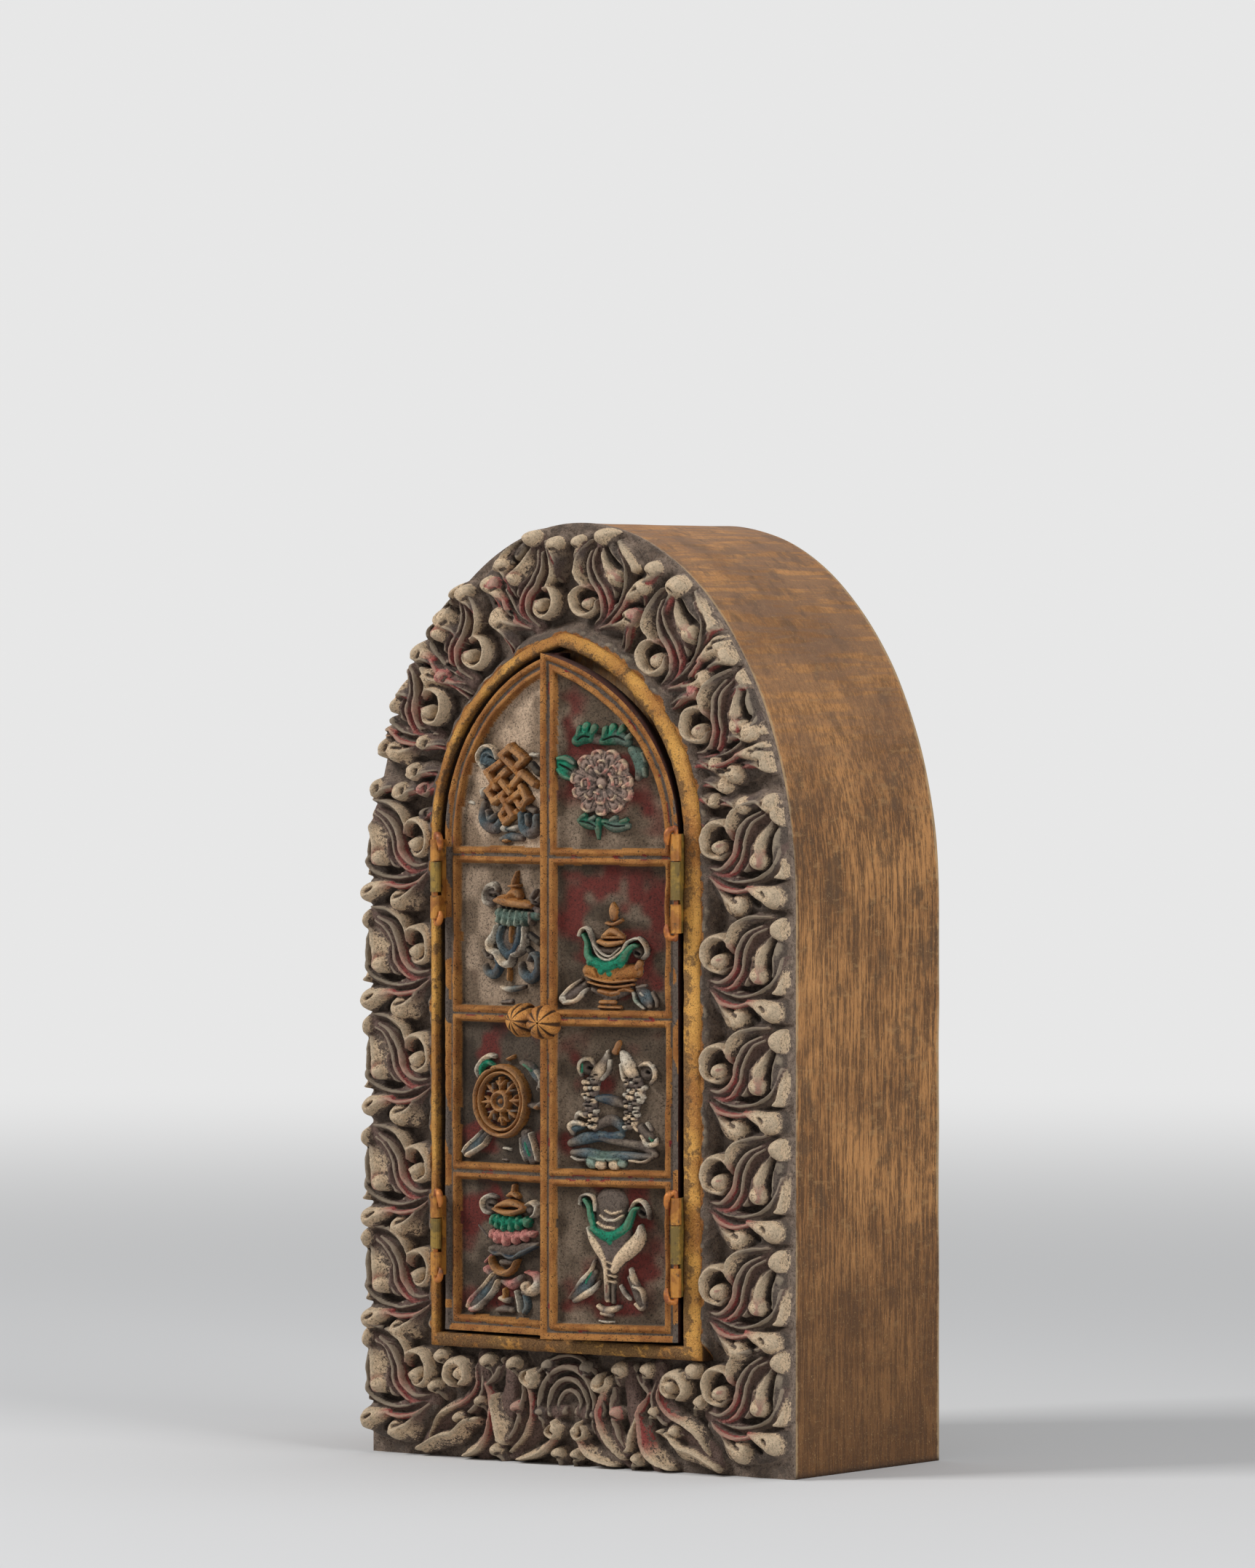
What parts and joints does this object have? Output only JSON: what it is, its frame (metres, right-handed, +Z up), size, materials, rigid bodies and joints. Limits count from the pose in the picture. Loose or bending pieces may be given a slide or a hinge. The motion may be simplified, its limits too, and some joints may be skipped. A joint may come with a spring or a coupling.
{
  "type": "carved altar cabinet",
  "caption": "Small arched wooden cabinet with a niche behind two hinged, panelled doors, a gilded pointed frame and a carved leaf-scroll border.",
  "frame": {"origin": "centre of the block's flat base", "axes": "+Z up, the doors face -Y, +X to the right seen from the front"},
  "size_m": [0.211, 0.145, 0.38],
  "materials": {
    "block_paint": "worn golden-brown paint",
    "gold_paint": "worn gold paint",
    "carving": "worn cream and rose paint over dusty brown",
    "door_paint": "dusty maroon panels with gold beads",
    "hinge_brass": "dull painted brass",
    "pin_iron": "rusty nail",
    "pink_paint": "worn pink and green paint",
    "cream_paint": "worn cream paint",
    "blue_grey_paint": "worn blue-grey paint"
  },
  "bodies": {
    "cabinet": {"casing": "block_paint", "door_frame": "gold_paint", "border_left": "carving", "border_right": "carving", "border_arch": "carving", "border_foot": "carving", "right_lower_frame_leaf": "hinge_brass", "right_upper_frame_leaf": "hinge_brass", "left_lower_frame_leaf": "hinge_brass", "left_upper_frame_leaf": "hinge_brass"},
    "right_door": {"right_board": "door_paint", "right_knob": "gold_paint", "right_lower_door_leaf": "hinge_brass", "right_upper_door_leaf": "hinge_brass", "right_lower_pin": "pin_iron", "right_upper_pin": "pin_iron", "lotus": "pink_paint", "vase": "gold_paint", "fishes": "cream_paint", "conch": "cream_paint"},
    "left_door": {"left_board": "door_paint", "left_knob": "gold_paint", "left_lower_door_leaf": "hinge_brass", "left_upper_door_leaf": "hinge_brass", "left_lower_pin": "pin_iron", "left_upper_pin": "pin_iron", "knot": "gold_paint", "banner": "blue_grey_paint", "wheel": "gold_paint", "parasol": "blue_grey_paint"}
  },
  "joints": [
    {"name": "right_door_hinge", "type": "hinge", "parent": "cabinet", "child": "right_door", "pos_m": [0.0584, -0.0665, 0.1625], "axis": [0, 0, 1], "range_deg": [-17, 88]},
    {"name": "left_door_hinge", "type": "hinge", "parent": "cabinet", "child": "left_door", "pos_m": [-0.062, -0.0665, 0.1625], "axis": [0, 0, -1], "range_deg": [-3, 102]}
  ]
}
